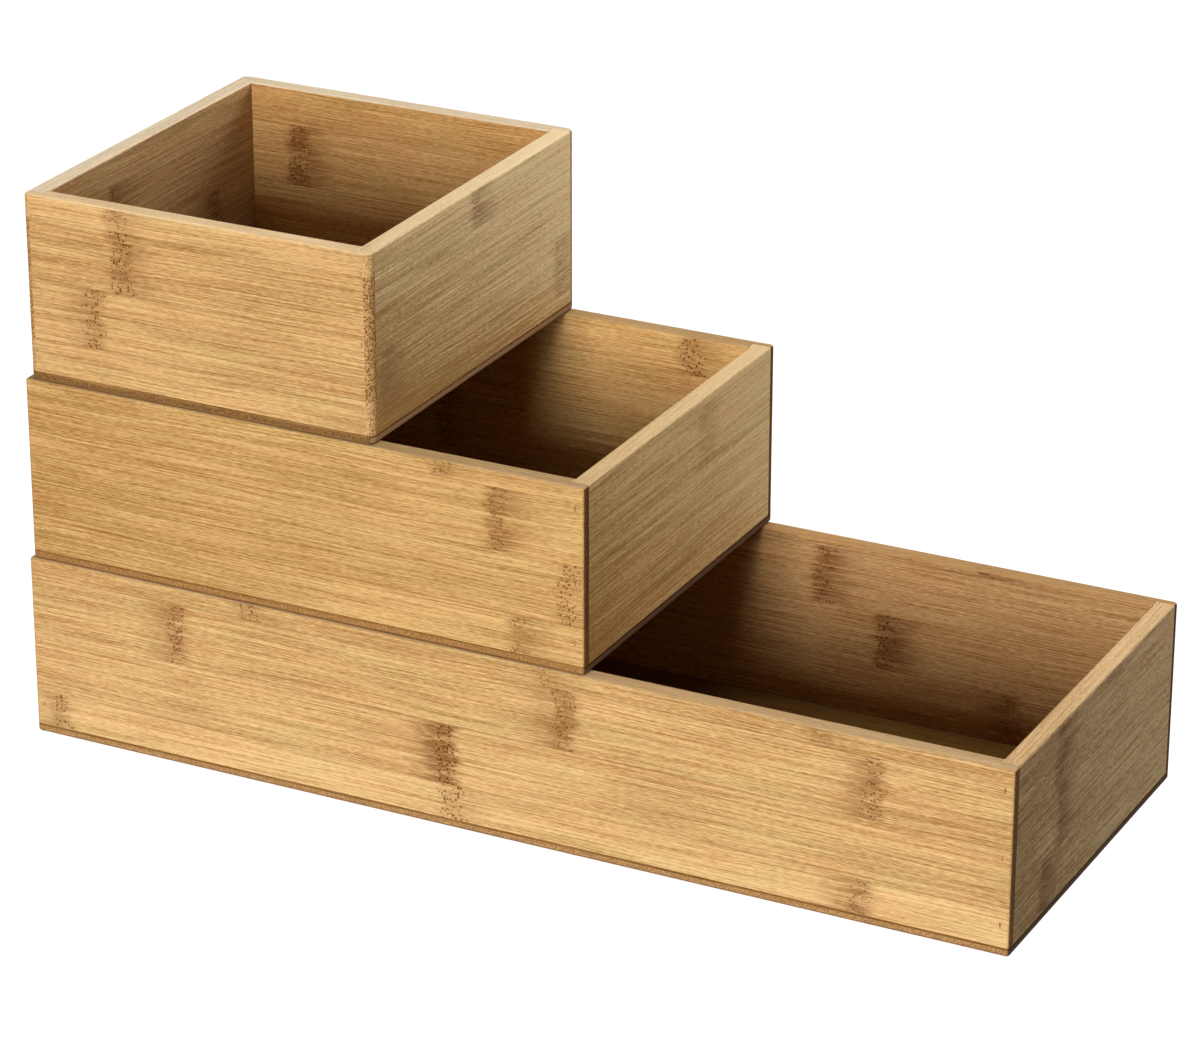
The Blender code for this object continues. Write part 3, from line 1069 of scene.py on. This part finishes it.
def top_box() -> OpenBox:
    """The short box, its corners rounded the most."""
    return OpenBox(
        "top_box", corner_round=2.8 * MM,
        layups={
            Side.FRONT: Layup(
                (15.8, 38.0, 60.5),
                (Knot(3, -148, 0.5, 1, 0.5), Knot(2, -146, 0.65, 1, 0.85), Knot(1, -157.8, 0.5, -1, 0.7)),
                seed=11, board_tone_and_painted_light=(0.935, 0.885, 0.89), rim=(1.21, 1.23, 1.35), strips=(0.10, 0.02, 0.0, 0.12)),
            Side.BACK: Layup(
                (8.6, 31.6, 55.0), (Knot(2, -158.5, 1.05, 1, 0.75), Knot(1, -80, 0.6, -1, 0.7)),
                seed=12, board_tone_and_painted_light=(0.94, 0.85, 0.80), rim=(1.34, 1.56, 2.2), strips=(0.0, 0.0, 0.0, -0.10)),
            Side.RIGHT: Layup(
                (8.5, 31.5, 54.5), (Knot(3, 1, 0.6, 1, 0.3), Knot(1, -65, 0.7, 1, 0.1), Knot(1, 63, 0.5, 1, 0.1)),
                seed=13, board_tone_and_painted_light=(1.21, 1.34, 1.68), rim=(1.27, 1.32, 1.50), painted_light_slope=(0.4, 1.1), figure=1.05),
            Side.LEFT: Layup(
                (12.0, 35.0, 58.0), (Knot(2, -28, 0.7, 1, 0.7), Knot(1, 40, 0.6, -1, 0.6)),
                seed=14, board_tone_and_painted_light=(0.77, 0.76, 0.85), rim=(1.34, 1.55, 2.15)),
        },
        base_layup=Layup(
            BASE_SEAMS, (Knot(2, -95, 0.6, 1, 0.6), Knot(5, -150, 0.7, -1, 0.7)), seed=15, board_tone_and_painted_light=(0.45, 0.35, 0.23)),
        tones=BambooTones(end=(0.80, 0.52, 0.225), end_dot=(0.19, 0.07, 0.002), end_slant=(0.03, 0.13)),
        ply=((0.30, 0.15, 0.052), (0.115, 0.05, 0.018), (0.35, 0.197, 0.105)),
        glue_tones=((0.22, 0.125, 0.06), (0.15, 0.08, 0.04)),
        filler_age={"front_right_mid": 0.4})


def middle_box() -> OpenBox:
    """The middle box."""
    return OpenBox(
        "middle_box", corner_round=1.3 * MM,
        layups={
            Side.FRONT: Layup(
                (17.5, 40.0, 63.0),
                (Knot(2, 0, 0.7, 1, 0.5), Knot(1, 27, 0.3, 1, 0.7), Knot(0, 9, 0.55, 1, 0.5),
                 Knot(3, -22, 0.4, 1, 0.5)),
                seed=21, board_tone_and_painted_light=(0.94, 0.88, 0.83), rim=(0.68, 0.64, 0.61), strips=(0.03, -0.05, -0.02, 0.0),
                painted_light_slope=(0.1, 0.0)),
            Side.BACK: Layup(
                (8.0, 31.0, 54.0), (Knot(3, 3.3, 0.6, 1, 0.8), Knot(2, -120, 0.7, -1, 0.8), Knot(1, -98, 0.6, 1, 0.6)),
                seed=22, board_tone_and_painted_light=(0.98, 0.93, 0.88), rim=(0.72, 0.65, 0.58), strips=(0.05, 0.02, 0.0, 0.03)),
            Side.RIGHT: Layup(
                (20.0, 43.0, 65.5), (Knot(2, 18, 0.35, 1, 0.0), Knot(1, -90, 0.3, 1, 0.2)),
                seed=23, board_tone_and_painted_light=(1.04, 1.08, 1.22), rim=(1.05, 1.03, 1.05), painted_light_slope=(0.46, 0.8)),
            Side.LEFT: Layup((14.0, 37.0, 60.0), (Knot(1, -20, 0.8, -1, 0.8), Knot(2, 35, 0.6, 1, 0.6)), seed=24),
        },
        base_layup=Layup(
            BASE_SEAMS, (Knot(1, -30, 0.7, 1, 0.7), Knot(3, -120, 0.6, -1, 0.7), Knot(4, 10, 0.5, 1, 0.6)),
            seed=25, board_tone_and_painted_light=(0.50, 0.38, 0.26)),
        # The floor colour darkens the inside of the base panel: painted shade
        tones=BambooTones(floor=(0.60, 0.74, 0.86)),
        ply=((0.475, 0.245, 0.08), (0.24, 0.108, 0.036), (0.13, 0.075, 0.042)),
        glue_tones=((0.34, 0.17, 0.07), (0.24, 0.12, 0.045)),
        filler_age={"front_right_high": 0.55, "front_right_low": 0.3})


def large_box() -> OpenBox:
    """The long box."""
    return OpenBox(
        "large_box", corner_round=1.3 * MM,
        layups={
            Side.FRONT: Layup(
                (16.5, 39.3, 62.3),
                (Knot(2, -129, 0.65, -1, 0.6), Knot(2, 25, 0.75, -1, 0.65), Knot(2, 139.5, 0.7, -1, 0.6),
                 Knot(3, -99, 0.5, 1, 0.6), Knot(3, 18, 0.3, 1, 0.5), Knot(3, 119.6, 0.5, 1, 0.3),
                 Knot(1, -21, 1.3, -1, 1.0), Knot(0, -179.3, 0.5, -1, 0.6), Knot(0, -18.8, 0.25, 1, 0.75),
                 Knot(0, 135.5, 0.7, -1, 0.5)),
                seed=31, board_tone_and_painted_light=(1.055, 1.03, 1.08), rim=(0.83, 0.79, 0.81), strips=(0.18, 0.0, -0.04, -0.15)),
            Side.BACK: Layup(
                (22.5, 44.0, 66.5),
                (Knot(2, 57.5, 0.9, 1, 0.55), Knot(1, 82.3, 1.25, 1, 1.0), Knot(3, 119.5, 1.0, 1, 0.5),
                 Knot(0, 131, 0.75, -1, 0.5), Knot(2, -120, 0.7, 1, 0.7), Knot(1, -60, 0.6, -1, 0.8)),
                seed=32, board_tone_and_painted_light=(0.66, 0.60, 0.62), rim=(0.72, 0.58, 0.45), painted_light_slope=(0.0, 0.25), figure=1.15),
            Side.RIGHT: Layup(
                (22.0, 44.5, 67.0),
                (Knot(2, -34, 0.95, 1, 0.2), Knot(1, -32, 0.95, 1, 0.2), Knot(0, -44.4, 0.95, 1, 0.2)),
                seed=33, board_tone_and_painted_light=(0.75, 0.775, 0.90), rim=(1.02, 0.94, 0.93), painted_light_slope=(0.34, -0.1), figure=1.75),
            Side.LEFT: Layup((18.0, 41.0, 64.0), (Knot(2, 12, 0.8, 1, 0.8), Knot(1, -35, 0.7, -1, 0.7)), seed=34),
        },
        base_layup=Layup(
            BASE_SEAMS, (Knot(1, 120, 0.7, 1, 0.7), Knot(3, 60, 0.6, -1, 0.7), Knot(4, -100, 0.7, 1, 0.6)),
            seed=35, board_tone_and_painted_light=(0.45, 0.32, 0.22)),
        # The floor colour brightens the inside of the base panel: painted light
        tones=BambooTones(floor=(1.15, 1.43, 1.5)),
        ply=((0.55, 0.32, 0.125), (0.27, 0.13, 0.047), (0.11, 0.065, 0.036)),
        glue_tones=((0.22, 0.11, 0.045), (0.13, 0.065, 0.03)),
        filler_age={"front_right_high": 0.8, "front_right_mid": 0.3, "front_right_low": 0.65})


def main() -> None:
    """Build the studio and the three boxes."""
    logging.basicConfig(level=logging.INFO, format="%(message)s")
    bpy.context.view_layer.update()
    Studio().build()
    for box in (large_box(), middle_box(), top_box()):
        box.build()


if __name__ == "__main__":
    main()
